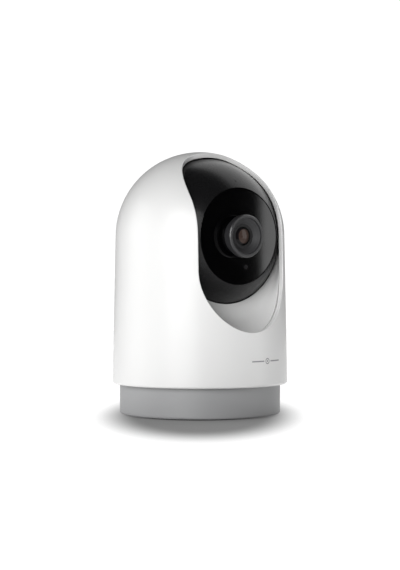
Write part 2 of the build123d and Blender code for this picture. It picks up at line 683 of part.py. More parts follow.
def head_cable():
    """Camera lead: out of the head through the left trunnion, down the arm and in to the main board."""
    out = ARM_X + ARM_THICK + 1.0
    path = FilletPolyline(
        (-12, 0, BALL_Z), (-out, 0, BALL_Z), (-out, 0, head_cable_z()), (-27, 0, head_cable_z()), radius=2.8)
    return sweep(Plane(path @ 0, z_dir=path % 0) * Circle(0.6), path)


# ------------------------------------------------------------------ ball head
def ball(inset):
    """Solid ball with flat cheeks, inset from the head's outside."""
    half = HEAD_HALF - inset
    solid = Pos(0, 0, BALL_Z) * Sphere(BALL_R - inset)
    return solid & block(-half, half, -BALL_R, BALL_R, BALL_Z - BALL_R, BALL_Z + BALL_R)


def head_posts():
    """Places of the four screw posts that join the covers, as (right, up)."""
    across = CHEEK_X - HEAD_POST_R - 1.1
    reach = BALL_R - BALL_WALL - HEAD_POST_R + 0.3
    up = math.sqrt(reach ** 2 - across ** 2)
    return [(x, z) for x in (-across, across) for z in (-up, up)]


def sensor_posts():
    return [(x, z) for x in (-SENSOR_POST_X, SENSOR_POST_X) for z in (-SENSOR_POST_Z, SENSOR_POST_Z)]


def microphone_place():
    """Upright drawing turned to point out of the head above the window."""
    return Pos(0, 0, BALL_Z) * Rot(90 - MIC_ANGLE, 0, 0)


def cover_half(sign):
    """Front (sign -1) or rear (sign 1) half of the hollow ball."""
    reach = sign * 2 * BALL_R
    low, high = sorted((HEAD_SPLIT, reach))
    return (ball(0) - ball(BALL_WALL)) & block(-BALL_R, BALL_R, low, high, BALL_Z - BALL_R, BALL_Z + BALL_R)


def head_front_cover():
    """Black front of the ball: window seat, bulkhead behind it, posts for the covers and the sensor board."""
    cover = cover_half(-1)
    back = BULKHEAD_DEPTH + BULKHEAD_THICK
    inside = tube(BALL_R, 12, BULKHEAD_DEPTH, back)
    inside += tube(BALL_R, WINDOW_R - LEDGE_WIDTH, back, WINDOW_DEPTH - WINDOW_THICK)
    for x, z in head_posts():
        inside += rod(HEAD_POST_R, -HEAD_SPLIT, 2, x, z)
    cover += AIM * inside & ball(BALL_WALL / 2)
    for x, z in sensor_posts():
        cover += AIM * rod(2.2, SENSOR_FACE, BULKHEAD_DEPTH, x, z)
        cover -= AIM * rod(0.9, SENSOR_FACE, SENSOR_FACE + 5, x, z)
    cover -= [AIM * rod(1.0, -HEAD_SPLIT, 1, x, z) for x, z in head_posts()]
    cover -= AIM * rod(WINDOW_R + SEAT_GAP, WINDOW_DEPTH - WINDOW_THICK, BALL_R)
    inner = BALL_R - BALL_WALL
    cover -= microphone_place() * rod(MIC_HOLE_R, inner - 1, BALL_R + 1)
    cover -= microphone_place() * rod(2.6, inner - 4.5, inner)
    return cover - ACROSS * rod(TRUNNION_R, -BALL_R, BALL_R)


def head_rear_cover():
    """Black back of the ball, screwed on from behind; the tilt motor sits inside its right cheek."""
    cover = cover_half(1)
    for x, z in head_posts():
        cover += AIM * rod(HEAD_POST_R, -BALL_R, -HEAD_SPLIT, x, z) & ball(BALL_WALL / 2)
        cover -= AIM * rod(2.05, -BALL_R, -HEAD_SPLIT - 2, x, z)
        cover -= AIM * rod(1.1, -BALL_R, -HEAD_SPLIT, x, z)
    cover -= ACROSS * rod(SHAFT_R + MOVE_GAP, 0, BALL_R, 0, TILT_CENTRE)
    return cover - [ACROSS * rod(0.8, 0, BALL_R, x, TILT_CENTRE) for x in tilt_ears()]


def head_screws():
    return group([AIM * Pos(x, z, -HEAD_SPLIT - 2) * screw(1.0, 10, 1.9, 1.2) for x, z in head_posts()])


def trunnions():
    """Hollow stub shafts that the head turns on."""
    return both_sides(ACROSS * tube(TRUNNION_R, TRUNNION_BORE_R, CHEEK_X - 1.5, ARM_X + ARM_THICK))


def tilt_ears():
    return (-TILT_MOTOR_R - 2.2, TILT_MOTOR_R + 2.2)


def tilt_motor():
    """Small stepper motor inside the head, its shaft out through the right cheek."""
    face = CHEEK_X - SEAT_GAP
    motor = rod(TILT_MOTOR_R, face - TILT_MOTOR_LENGTH, face, 0, TILT_CENTRE)
    motor = chamfer(motor.edges().group_by(Axis.Z)[0], 0.5)
    reach = TILT_MOTOR_R + 4
    motor += block(-reach, reach, TILT_CENTRE - 2.5, TILT_CENTRE + 2.5, face - EAR_THICK, face)
    motor -= rod(SHAFT_R + RUN_GAP, face - 5.5, face, 0, TILT_CENTRE)
    return ACROSS * (motor - [rod(0.9, face - EAR_THICK, face, x, TILT_CENTRE) for x in tilt_ears()])


def tilt_motor_screws():
    face = CHEEK_X - SEAT_GAP - EAR_THICK
    return group([ACROSS * Pos(x, TILT_CENTRE, face) * screw(0.8, EAR_THICK + 1.7, 1.5, 0.8) for x in tilt_ears()])


def tilt_pinion():
    """Pinion on the tilt motor's shaft, in mesh with the gear round the trunnion."""
    wheel = gear(TILT_MODULE, TILT_PINION_TEETH, TILT_GEAR_THICK, -90 + 180 / TILT_PINION_TEETH)
    shaft = rod(SHAFT_R, CHEEK_X - 5, tilt_gear_x() + TILT_GEAR_THICK, 0, TILT_CENTRE)
    return ACROSS * (Pos(0, TILT_CENTRE, tilt_gear_x()) * wheel + shaft)


# ------------------------------------------------------------------ window, lens and camera module
def window():
    """Glossy black disc with a hole for the lens hood."""
    disc = tube(WINDOW_R, HOOD_NECK_R + RUN_GAP, WINDOW_DEPTH - WINDOW_THICK, WINDOW_DEPTH)
    rim = disc.edges().group_by(Axis.Z)[-1].sort_by(SortBy.RADIUS)[-1]
    return AIM * chamfer(rim, 0.25)


def lens_hood():
    """Black tube round the lens, flanged behind the window, with a neck and a wide front with a lip."""
    shoulder = WINDOW_DEPTH + HOOD_NECK_LENGTH
    front = rod(HOOD_R, shoulder, HOOD_DEPTH)
    front = chamfer(front.edges().group_by(Axis.Z)[-1], 0.35)
    front = chamfer(front.edges().group_by(Axis.Z)[0], 0.5)
    hood = front + rod(HOOD_NECK_R, WINDOW_DEPTH - WINDOW_THICK, shoulder)
    hood += rod(HOOD_R + 0.7, WINDOW_DEPTH - WINDOW_THICK - 1, WINDOW_DEPTH - WINDOW_THICK)
    hood -= rod(HOOD_R - HOOD_LIP, BARREL_FRONT, HOOD_DEPTH)
    return AIM * (hood - rod(BARREL_R + 0.2, 0, BARREL_FRONT))


def lens_bezel():
    """Grey cone inside the hood that narrows towards the glass."""
    high = HOOD_DEPTH - 0.5
    outer = HOOD_R - HOOD_LIP - RUN_GAP
    ring = rod(outer, BARREL_FRONT, high)
    funnel = Pos(0, 0, BARREL_FRONT) * Cone(BEZEL_R, outer - 0.3, high - BARREL_FRONT, align=UP)
    return AIM * (ring - funnel)


def lens_barrel():
    """Lens tube with a lip at each end that keeps the glass in."""
    tube_body = tube(BARREL_R, GLASS_R, BARREL_BACK, BARREL_FRONT)
    tube_body += tube(BARREL_R, GLASS_R - 0.5, BARREL_FRONT - 0.8, BARREL_FRONT)
    return AIM * (tube_body + tube(BARREL_R, GLASS_R - 1.2, BARREL_BACK, BARREL_BACK + 0.8))


def front_element():
    return lens(GLASS_R - RUN_GAP, BARREL_FRONT - 3.4, BARREL_FRONT - 1.3, 0.1, 0.45)


def middle_element():
    return lens(GLASS_R - RUN_GAP, BARREL_FRONT - 8.6, BARREL_FRONT - 6.6, 0.6, 0.6)


def rear_element():
    return lens(GLASS_R - RUN_GAP, BARREL_BACK + 1.4, BARREL_BACK + 3.4, 0.4, 0.8)


def lens_spacers():
    """Two rings that keep the three glasses apart."""
    outer = GLASS_R - RUN_GAP
    return group([
        AIM * tube(outer, outer - 0.7, BARREL_FRONT - 6.3, BARREL_FRONT - 3.5),
        AIM * tube(outer, outer - 0.7, BARREL_BACK + 3.7, BARREL_FRONT - 8.9),
    ])


def filter_depth():
    return SENSOR_FACE + 3.4


def lens_holder():
    """Block on the sensor board that holds the lens tube and leaves room for the sliding filter."""
    top = BARREL_BACK + 7
    holder = block(-HOLDER_HALF, HOLDER_HALF, -HOLDER_HEIGHT, HOLDER_HEIGHT, SENSOR_FACE, top)
    holder -= block(-6, 6, -5, 5, SENSOR_FACE, SENSOR_FACE + 2)
    holder -= rod(4.4, SENSOR_FACE, BARREL_BACK)
    room = FILTER_TRAVEL + FILTER_HALF + 0.3
    wall = FILTER_HALF + MOVE_GAP
    holder -= block(-room, room, -wall, wall, filter_depth() - MOVE_GAP, filter_depth() + 1.2 + MOVE_GAP)
    return AIM * (holder - rod(BARREL_R, BARREL_BACK, top))


def filter_frame():
    """Sliding frame with two openings, one behind the other in its travel."""
    low = filter_depth()
    frame = block(-FILTER_TRAVEL - FILTER_HALF + 0.3, FILTER_HALF - 0.3, -FILTER_HALF, FILTER_HALF, low, low + 1.2)
    return AIM * (frame - [block(x - 2.5, x + 2.5, -2.8, 2.8, low, low + 1.2) for x in (-FILTER_TRAVEL, 0)])


def filter_panes():
    """Infrared-cut glass for day and clear glass for night."""
    low = filter_depth() + 0.3
    return group([AIM * block(x - 2.5, x + 2.5, -2.8, 2.8, low, low + 0.6) for x in (-FILTER_TRAVEL, 0)])


def filter_coil():
    """Coil on the holder that throws the filter over."""
    coil = block(-6, 6, HOLDER_HEIGHT, HOLDER_HEIGHT + 2.6, filter_depth() - 1, filter_depth() + 4)
    return AIM * fillet(coil.edges().filter_by(Axis.X), 0.8)


def image_sensor():
    return AIM * block(-4.5, 4.5, -3.8, 3.8, SENSOR_FACE, SENSOR_FACE + 1.3)


def sensor_board():
    """Circuit board of the camera module, with its connector behind."""
    board = block(-SENSOR_BOARD_HALF, SENSOR_BOARD_HALF, -13.5, 13.5, SENSOR_BOARD_DEPTH, SENSOR_FACE)
    board -= [rod(1.0, SENSOR_BOARD_DEPTH, SENSOR_FACE, x, z) for x, z in sensor_posts()]
    return AIM * (board + block(-6, 6, -3, 3, SENSOR_BOARD_DEPTH - 1.6, SENSOR_BOARD_DEPTH))


def sensor_screws():
    return group([AIM * Pos(x, z, SENSOR_BOARD_DEPTH) * screw(0.9, 5.5, 1.7, 1.0) for x, z in sensor_posts()])


def led_board_face():
    return BULKHEAD_DEPTH + BULKHEAD_THICK + 1.0


def ir_board_radii():
    """Inner and outer radius of the ring board: round the hood, inside the window's ledge."""
    return HOOD_R + 1.3, WINDOW_R - LEDGE_WIDTH - MOVE_GAP


def ir_board():
    """Ring board behind the window that carries the infrared lamps."""
    inner, outer = ir_board_radii()
    return AIM * tube(outer, inner, led_board_face() - 1.0, led_board_face())


def ir_leds():
    """Seven infrared lamps in a ring, with the gap in the ring at the light sensor."""
    lamps = []
    middle = sum(ir_board_radii()) / 2
    near, far = middle - LAMP_SIZE / 2, middle + LAMP_SIZE / 2
    for angle in (0, 45, 90, 135, 180, 225, 315):
        lamp = block(near, far, -LAMP_SIZE / 2, LAMP_SIZE / 2, led_board_face(), led_board_face() + 0.9)
        lamps.append(AIM * Rot(0, 0, angle) * fillet(lamp.edges().group_by(Axis.Z)[-1], 0.35))
    return group(lamps)


def light_sensor():
    return AIM * rod(1.2, led_board_face(), led_board_face() + 0.9, 4, -13.4)


def status_led():
    return AIM * block(-4.8, -3.2, -14.2, -12.6, led_board_face(), led_board_face() + 0.7)


def microphone():
    inner = BALL_R - BALL_WALL
    return microphone_place() * rod(2.0, inner - 1.5, inner - 0.2)


PIECES = [
    base_shell, base_plate, foot_ring, tripod_insert, ballast_plate, base_screws, pan_sun_gear, gear_screws,
    usb_board, usb_socket, reset_switch, reset_button, power_harness,
    outer_shell, scoop_liner, turntable, shell_screws, yoke, yoke_screws, trunnion_bushes, tilt_gear,
    pan_motor, pan_motor_screws, pan_pinion, main_board, board_screws, main_chip, shield_can,
    wifi_antenna, speaker, speaker_gasket, head_cable,
    head_front_cover, head_rear_cover, head_screws, trunnions, tilt_motor, tilt_motor_screws, tilt_pinion,
    window, lens_hood, lens_bezel, lens_barrel, front_element, middle_element, rear_element, lens_spacers,
    lens_holder, filter_frame, filter_panes, filter_coil, image_sensor, sensor_board, sensor_screws,
    ir_board, ir_leds, light_sensor, status_led, microphone,
]

os.makedirs("parts", exist_ok=True)
for piece in PIECES:
    export_step(piece(), f"parts/{piece.__name__}.step")
print(f"{len(PIECES)} parts, {BALL_Z + DOME_R:.1f} mm tall, {2 * SKIRT_R:.1f} mm wide")
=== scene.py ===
# %% [markdown]
# # A pan and tilt camera in white, grey and gloss black
# The engineering model already holds every part at its right place and size. This script gives that
# model its looks: a camera and soft lights first, then one finish after another, and at the end the
# table that gives every part its finish. The shapes stay as they are. Everything is in metres.

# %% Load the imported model
import json
import math
import bpy
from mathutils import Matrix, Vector


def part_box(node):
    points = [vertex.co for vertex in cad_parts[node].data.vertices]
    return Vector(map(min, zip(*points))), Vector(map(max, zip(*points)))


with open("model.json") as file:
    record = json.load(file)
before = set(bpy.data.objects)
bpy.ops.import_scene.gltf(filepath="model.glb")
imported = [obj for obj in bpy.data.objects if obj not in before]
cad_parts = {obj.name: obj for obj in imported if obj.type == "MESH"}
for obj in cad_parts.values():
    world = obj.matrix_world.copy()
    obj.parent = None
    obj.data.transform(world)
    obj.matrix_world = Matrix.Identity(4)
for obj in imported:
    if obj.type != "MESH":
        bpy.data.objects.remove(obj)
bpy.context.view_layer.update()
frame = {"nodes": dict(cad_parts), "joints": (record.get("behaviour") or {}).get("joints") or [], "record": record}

NODES = frame["nodes"]

# %% [markdown]
# Most sizes below are read from the parts themselves, so that a changed model carries its looks along.
# The ball turns on the tilt joint, and its centre is the centre of the dome as well.

# %% Sizes that the looks follow
JOINTS = {joint["name"]: joint for joint in frame["joints"]}
BALL_Z = JOINTS["tilt"]["pos_m"][2]
SHELL_LOW, SHELL_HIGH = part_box("outer_shell")
DOME_R = SHELL_HIGH.z - BALL_Z
print(f"dome radius {DOME_R * 1000:.1f} mm, ball centre {BALL_Z * 1000:.1f} mm up")

# %% [markdown]
# ## Camera
# A product picture is taken from far away with a long lens, so that upright sides stay nearly parallel.
# The camera stands 37 degrees to the left of where the lens looks, a little above the ball's lower half.

# %% Camera
VIEW_TURN = math.radians(-37)
VIEW_DISTANCE = 0.80
VIEW_HEIGHT = 0.072
AIM_HEIGHT = 0.0577
LENS_MM = 113.0
SENSOR_MM = 36.0


def add_camera():
    """The still camera at the product's three-quarter view."""
    data = bpy.data.cameras.new("product_camera")
    data.lens = LENS_MM
    data.sensor_width = SENSOR_MM
    data.clip_start = 0.01
    camera = bpy.data.objects.new("product_camera", data)
    bpy.context.scene.collection.objects.link(camera)
    camera.location = (
        math.sin(VIEW_TURN) * VIEW_DISTANCE, -math.cos(VIEW_TURN) * VIEW_DISTANCE, VIEW_HEIGHT)
    look = Vector((0, 0, AIM_HEIGHT)) - camera.location
    camera.rotation_euler = look.to_track_quat("-Z", "Y").to_euler()
    bpy.context.scene.camera = camera
    return camera


add_camera()
print("camera at", [round(v, 3) for v in bpy.context.scene.camera.location])

# %% [markdown]
# ## Lights
# White plastic needs light that falls from one side. A big soft panel stands at the left front, and a
# second one at the left keeps that edge bright. One high at the back right draws the long soft sheen over
# the black ball. The front right stays dark on purpose, because the gloss black window mirrors exactly
# that side, and only a narrow strip there shows in it.

# %% Lights
KEY_POWER = 8.9
EDGE_POWER = 2.0
BACK_POWER = 4.0
STRIP_POWER = 0.60
AMBIENT = 0.04
PAPER_WHITE = 1.1


def add_panel(name, turn_deg, distance, height, size, power, aim=(0, 0, 0.06)):
    """A square soft light on a circle round the object, pointed at it."""
    data = bpy.data.lights.new(name, "AREA")
    data.shape = "SQUARE"
    data.size = size
    data.energy = power
    light = bpy.data.objects.new(name, data)
    bpy.context.scene.collection.objects.link(light)
    turn = math.radians(turn_deg)
    light.location = (math.sin(turn) * distance, -math.cos(turn) * distance, height)
    light.rotation_euler = (Vector(aim) - light.location).to_track_quat("-Z", "Y").to_euler()
    return light


add_panel("key_panel", -60, 1.0, 0.36, 0.7, KEY_POWER)
add_panel("edge_panel", -130, 1.0, 0.35, 0.6, EDGE_POWER)
add_panel("back_panel", 108, 0.75, 0.75, 1.0, BACK_POWER)
add_panel("strip_panel", 46, 1.03, 0.15, 0.27, STRIP_POWER)


def add_world():
    """A dim room, seen as plain white where the view looks past the object."""
    world = bpy.data.worlds.new("studio")
    world.use_nodes = True
    nodes = world.node_tree.nodes
    links = world.node_tree.links
    room = nodes["Background"]
    room.inputs["Strength"].default_value = AMBIENT
    paper = nodes.new("ShaderNodeBackground")
    paper.inputs["Color"].default_value = (1, 1, 1, 1)
    paper.inputs["Strength"].default_value = PAPER_WHITE
    seen = nodes.new("ShaderNodeLightPath")
    choose = nodes.new("ShaderNodeMixShader")
    links.new(seen.outputs["Is Camera Ray"], choose.inputs[0])
    links.new(room.outputs[0], choose.inputs[1])
    links.new(paper.outputs[0], choose.inputs[2])
    links.new(choose.outputs[0], nodes["World Output"].inputs["Surface"])
    bpy.context.scene.world = world


add_world()
bpy.context.scene.view_settings.view_transform = "Standard"

# %% [markdown]
# ## A small language for finishes
# A finish is a network of nodes. Written node by node it is hard to read, so two small classes let a
# finish be written as sums: `Value` wraps one socket, and adding or multiplying values adds the Math
# nodes. `Finish` owns the material and its Principled shader, and adds every other kind of node.

# %% Shader sums
class Value:
    """One output socket that can be added, multiplied and compared."""

    def __init__(self, finish, socket):
        self.finish = finish
        self.socket = socket

    def math(self, operation, first, second=0.0):
        return self.finish.node("ShaderNodeMath", {"operation": operation}, {0: first, 1: second})

    def __add__(self, other):
        return self.math("ADD", self, other)

    def __sub__(self, other):
        return self.math("SUBTRACT", self, other)

    def __rsub__(self, other):
        return self.math("SUBTRACT", other, self)

    def __mul__(self, other):
        return self.math("MULTIPLY", self, other)

    def __abs__(self):
        return self.math("ABSOLUTE", self)

    __radd__ = __add__
    __rmul__ = __mul__

    def sine(self):
        return self.math("SINE", self)

    def root(self):
        return self.math("SQRT", self)

    def step(self, low, high):
        """0 below low, 1 above high, and a smooth rise between them."""
        return self.finish.node("ShaderNodeMapRange", {"interpolation_type": "SMOOTHSTEP"}, {
            "Value": self, "From Min": low, "From Max": high, "To Min": 0.0, "To Max": 1.0})


class Finish:
    """A material on a Principled shader, with methods that add nodes to it."""

    def __init__(self, name, color, roughness, **constants):
        self.material = bpy.data.materials.new(name)
        self.material.use_nodes = True
        self.nodes = self.material.node_tree.nodes
        self.links = self.material.node_tree.links
        self.shader = self.nodes["Principled BSDF"]
        self.shader.inputs["Base Color"].default_value = (*color, 1.0)
        self.shader.inputs["Roughness"].default_value = roughness
        for label, amount in constants.items():
            self.shader.inputs[label.replace("_", " ")].default_value = amount

    def node(self, kind, settings, inputs, output=0):
        """Adds a node, sets it up, feeds its sockets with numbers or values, and returns an output."""
        node = self.nodes.new(kind)
        for label, setting in settings.items():
            setattr(node, label, setting)
        for key, given in inputs.items():
            if isinstance(given, Value):
                self.links.new(given.socket, node.inputs[key])
            else:
                node.inputs[key].default_value = given
        return Value(self, node.outputs[output])

    def feed(self, label, value):
        self.links.new(value.socket, self.shader.inputs[label])

    def place(self):
        """Position on the object, in metres."""
        return self.node("ShaderNodeTexCoord", {}, {}, "Object")

    def axes(self):
        """The three coordinates of the position, one by one."""
        split = self.nodes.new("ShaderNodeSeparateXYZ")
        self.links.new(self.place().socket, split.inputs[0])
        return [Value(self, socket) for socket in split.outputs]

    def noise(self, scale, detail=2.0, stretch=(1, 1, 1)):
        """Soft noise from 0 to 1; scale is in cells per metre, and stretch thins it along an axis."""
        where = self.node("ShaderNodeMapping", {}, {"Vector": self.place(), "Scale": stretch})
        return self.node("ShaderNodeTexNoise", {}, {"Vector": where, "Scale": scale, "Detail": detail})

    def mix(self, amount, first, second):
        """Colour between two colours by an amount from 0 to 1."""
        return self.node("ShaderNodeMix", {"data_type": "RGBA"}, {0: amount, 6: first, 7: second}, 2)

    def bump(self, height, distance, strength=1.0):
        """Feeds the shader's normal from a height; distance is the depth of a full step, in metres."""
        self.feed("Normal", self.node(
            "ShaderNodeBump", {}, {"Height": height, "Distance": distance, "Strength": strength}))

    def mottle(self, light, dark, scale):
        """A faint, slow change of colour, as in any moulded part."""
        color = self.mix(self.noise(scale, 3.0), (*dark, 1.0), (*light, 1.0))
        self.feed("Base Color", color)
        return color


print("shader language ready")

# %% [markdown]
# ## Floor
# The floor is a sheet of white acrylic lit from behind, as on a product table. It is pure white wherever
# it is bare. Under the object its glow dims softly into a painted shadow, longer along the line of sight than
# across it.

# %% Lit floor
# Size and darkness of the painted shadow under the object, across and along the line of sight.
PAINTED_SHADOW_ACROSS = 0.050
PAINTED_SHADOW_ALONG = 0.135
PAINTED_SHADOW_CORE = 0.56
PAINTED_SHADOW_EDGE = 1.02
PAINTED_SHADOW_GREY = (0.11, 0.11, 0.11, 1.0)
GLOW_WHITE = (1.0, 1.0, 1.0, 1.0)
FLOOR_RADIUS = 0.9


def floor_with_painted_shadow():
    """White acrylic that glows everywhere, with a painted shadow under the object where the glow fades to dark
    grey.
    """
    finish = Finish("white_light_table_painted_shadow", (0.16, 0.16, 0.16), 0.85)
    turned = finish.node("ShaderNodeVectorRotate", {"rotation_type": "Z_AXIS"}, {
        "Vector": finish.place(), "Angle": -VIEW_TURN})
    stretched = finish.node("ShaderNodeVectorMath", {"operation": "MULTIPLY"}, {
        0: turned, 1: (1 / PAINTED_SHADOW_ACROSS, 1 / PAINTED_SHADOW_ALONG, 0.0)})
    away = finish.node("ShaderNodeVectorMath", {"operation": "LENGTH"}, {0: stretched}, "Value")
    # Painted shadow: the glow fades from white to dark grey in a long soft patch under the object.
    painted_shadow_fade = away.step(PAINTED_SHADOW_CORE, PAINTED_SHADOW_EDGE)
    finish.feed("Emission Color", finish.mix(painted_shadow_fade, PAINTED_SHADOW_GREY, GLOW_WHITE))
    finish.shader.inputs["Emission Strength"].default_value = 1.0
    finish.feed("Roughness", 0.8 + finish.noise(300.0, 2.0) * 0.1)
    return finish.material


def add_floor():
    """A round sheet, wider than the view."""
    bpy.ops.object.select_all(action="DESELECT")
    bpy.ops.mesh.primitive_circle_add(vertices=96, radius=FLOOR_RADIUS, fill_type="NGON", location=(0, 0, 0))
    floor = bpy.context.object
    floor.name = "floor"
    floor.data.materials.append(floor_with_painted_shadow())
    return floor


FLOOR = add_floor()
print("floor", round(FLOOR.dimensions.x, 2), "m wide")

# %% [markdown]
# ## Moulded plastics
# The housing is white ABS from a finely spark-eroded mould: the surface is satin, with a grain of about
# a tenth of a millimetre that is only seen in the highlights. The base and the ball use the same grain
# in grey and in black. One function makes all of them, and only colour, sheen and grain size differ.

# %% Grained plastic
def grained_finish(name, color, roughness, grain_per_m=6500.0, grain_depth=6e-6, spread=0.05, **constants):
    """Injection-moulded plastic: fine grain, slightly uneven gloss, and a hint of cloudiness."""
    finish = Finish(name, color, roughness, **constants)
    finish.skin = finish.mottle(color, tuple(channel * 0.955 for channel in color), 38.0)
    cloud = finish.noise(120.0, 4.0)
    grain = finish.noise(grain_per_m, 2.0)
    finish.feed("Roughness", roughness - spread + spread * 2.0 * (cloud * 0.6 + grain * 0.4))
    finish.bump(grain + finish.noise(grain_per_m * 0.31, 1.0) * 0.6, grain_depth)
    return finish


def grained_plastic(*sizes, **constants):
    return grained_finish(*sizes, **constants).material


WHITE = (0.80, 0.80, 0.795)
WHITE_SHEEN = {"roughness": 0.36, "Coat_Weight": 0.12, "Coat_Roughness": 0.22}
SHELL_WHITE = grained_plastic("satin_white_shell", WHITE, **WHITE_SHEEN)
BASE_GREY = grained_plastic("moulded_grey_base", (0.335, 0.337, 0.342), 0.48, 5200.0, 9e-6)
BALL_BLACK = grained_plastic(
    "satin_black_ball", (0.007, 0.007, 0.0075), 0.27, grain_depth=3e-6, Specular_IOR_Level=0.3)
FRAME_BLACK = grained_plastic("moulded_black_frame", (0.035, 0.036, 0.038), 0.5, 4200.0)
GEAR_CREAM = grained_plastic("natural_acetal_gear", (0.72, 0.70, 0.63), 0.4, spread=0.08)
RUBBER_BLACK = grained_plastic("black_rubber", (0.018, 0.018, 0.018), 0.75, 2600.0, 1.6e-5)
FOAM_BLACK = grained_plastic("closed_cell_foam", (0.02, 0.02, 0.022), 0.9, 1500.0, 6e-5)
CABLE_BLACK = grained_plastic("vinyl_cable_jacket", (0.02, 0.02, 0.021), 0.45, 3000.0)
CHIP_BLACK = grained_plastic("epoxy_chip", (0.022, 0.022, 0.024), 0.55, 4000.0, 1.2e-5)
print("finishes so far:", [material.name for material in bpy.data.materials])

# %% [markdown]
# The lower right of the housing carries a small grey print. Here it is a plain sign and not a name: a
# lens seen from the front, with a bar on each side. It is drawn from two lengths, along the wall and up
# it, so it wraps round the housing without any extra shape.

# %% Print on the housing
MARK_TURN = math.radians(12)
MARK_Z = 0.0252
MARK_HALF = 0.0092
BAR_START = 0.0021
LENS_RING = 0.00112
INK_GREY = (0.27, 0.27, 0.28, 1.0)


def printed_shell():
    """The housing's white plastic with a sign in grey ink."""
    finish = grained_finish("satin_white_shell_with_print", WHITE, **WHITE_SHEEN)
    across, depth, up = finish.axes()
    turn = finish.node("ShaderNodeMath", {"operation": "ARCTAN2"}, {0: across, 1: depth * -1.0})
    along = (turn - MARK_TURN) * SHELL_HIGH.x
    rise = up - MARK_Z
    away = (along * along + rise * rise).root()
    ring = 1.0 - abs(away - LENS_RING).step(0.00015, 0.00025)
    pupil = 1.0 - away.step(0.00035, 0.00045)
    bar = (1.0 - abs(rise).step(0.00022, 0.00032)) * abs(along).step(BAR_START, BAR_START + 0.0001)
    ink = ring + pupil + bar * (1.0 - abs(along).step(MARK_HALF, MARK_HALF + 0.0001))
    finish.feed("Base Color", finish.mix(ink, finish.skin, INK_GREY))
    return finish.material


SHELL_PRINTED = printed_shell()
print("print at", round(math.degrees(MARK_TURN)), "degrees,", round(MARK_Z * 1000, 1), "mm up")

# %% [markdown]
# ## Metals
# Turned and plated metal shows fine rings round its axis, or fine lines along the sheet. Both are noise
# squeezed along one direction. The bright tin of the power inlet is sheet, the steel is plated.

# %% Metals
def drawn_metal(name, color, roughness, stretch, depth=3e-6, lines_per_m=900.0):
    """Metal with fine lines: stretch is large across the lines and small along them."""
    finish = Finish(name, color, roughness, Metallic=1.0)
    lines = finish.noise(lines_per_m, 3.0, stretch)
    stain = finish.noise(90.0, 4.0)
    finish.feed("Base Color", finish.mix(stain * 0.5, (*color, 1.0), (*(c * 0.72 for c in color), 1.0)))
    finish.feed("Roughness", roughness + (lines - 0.5) * 0.18 + (stain - 0.5) * 0.1)
    finish.bump(lines, depth)
    return finish.material


STEEL = drawn_metal("zinc_plated_steel", (0.60, 0.60, 0.61), 0.34, (1.0, 1.0, 9.0))
BRASS = drawn_metal("turned_brass", (0.78, 0.60, 0.30), 0.28, (1.0, 1.0, 12.0))
TIN = drawn_metal("tinned_sheet", (0.78, 0.78, 0.77), 0.22, (8.0, 1.0, 8.0))
print("metals ready")

# %% [markdown]
# ## Round finishes that follow the lens axis
# The window, the lens hood and the grey ring inside it are all turned about the lens axis, so their
# finishes are drawn from the distance to that axis. The window is an infrared-pass black acrylic: it is
# nearly a mirror, and the light sensor behind it is only just visible as a slightly paler spot.

# %% Distance from the lens axis
SENSOR_LOW, SENSOR_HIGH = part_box("light_sensor")
SENSOR_X = (SENSOR_LOW.x + SENSOR_HIGH.x) / 2
SENSOR_Z = (SENSOR_LOW.z + SENSOR_HIGH.z) / 2
SENSOR_R = (SENSOR_HIGH.x - SENSOR_LOW.x) / 2


def distance_from(finish, x, z):
    """Distance in the plane across the lens axis from a point, in metres."""
    across, _, up = finish.axes()
    return ((across - x) * (across - x) + (up - z) * (up - z)).root()


# %% Gloss black window
def window_finish():
    """Polished black acrylic with faint dust, and the light sensor's spot."""
    finish = Finish("infrared_pass_acrylic", (0.002, 0.002, 0.0022), 0.03, IOR=1.49)
    spot = 1.0 - distance_from(finish, SENSOR_X, SENSOR_Z).step(SENSOR_R * 0.75, SENSOR_R * 1.15)
    dust = finish.noise(2600.0, 1.0).step(0.70, 0.78) * 0.35
    black = (0.001, 0.001, 0.0012, 1.0)
    finish.feed("Base Color", finish.mix(spot * 0.5 + dust * 0.04, black, (0.030, 0.029, 0.030, 1.0)))
    finish.feed("Roughness", 0.03 + finish.noise(160.0, 3.0) * 0.03 + dust * 0.12)
    finish.bump(finish.noise(40.0, 1.0), 2e-6, 0.3)
    return finish.material


WINDOW_BLACK = window_finish()
print("sensor spot at", round(SENSOR_X * 1000, 1), round((SENSOR_Z - BALL_Z) * 1000, 1), "mm")


# %% Turned rings of the hood and the bezel
def turned_finish(name, color, roughness, rings_per_m, depth, **constants):
    """A turned surface: fine rings round the lens axis, and along it on the outside of a tube."""
    finish = Finish(name, color, roughness, **constants)
    _, depth_in, _ = finish.axes()
    radius = distance_from(finish, 0.0, BALL_Z)
    rings = ((radius + depth_in * 0.7) * (rings_per_m * 2 * math.pi)).sine() * 0.5 + 0.5
    fine = finish.noise(3000.0, 2.0)
    finish.feed("Base Color", finish.mix(
        rings * 0.6 + fine * 0.4, (*(c * 0.8 for c in color), 1.0), (*color, 1.0)))
    finish.feed("Roughness", roughness + (fine - 0.5) * 0.1)
    finish.bump(rings, depth)
    return finish.material


HOOD_BLACK = turned_finish(
    "satin_black_hood", (0.026, 0.026, 0.028), 0.34, 2200.0, 2e-6, Coat_Weight=0.3, Coat_Roughness=0.12)
BEZEL_GREY = turned_finish(
    "dark_grey_bezel", (0.042, 0.042, 0.044), 0.55, 2600.0, 8e-6, Specular_IOR_Level=0.25)
BARREL_BLACK = turned_finish("black_anodised_barrel", (0.016, 0.016, 0.017), 0.42, 3000.0, 8e-6, Metallic=0.5)

# %% [markdown]
# ## Glass
# A coated lens looks black with a warm depth: its coating lets light in and gives back only a brownish or
# green reflection of the room. That reflection is painted into the colour, as a soft warm disc and a greener rim.

# %% Coated glass
# Where the painted warm reflection disc sits beside the lens middle, and how wide it is.
PAINTED_REFLECTION_SIDE = 0.0014
PAINTED_REFLECTION_R = 0.0029


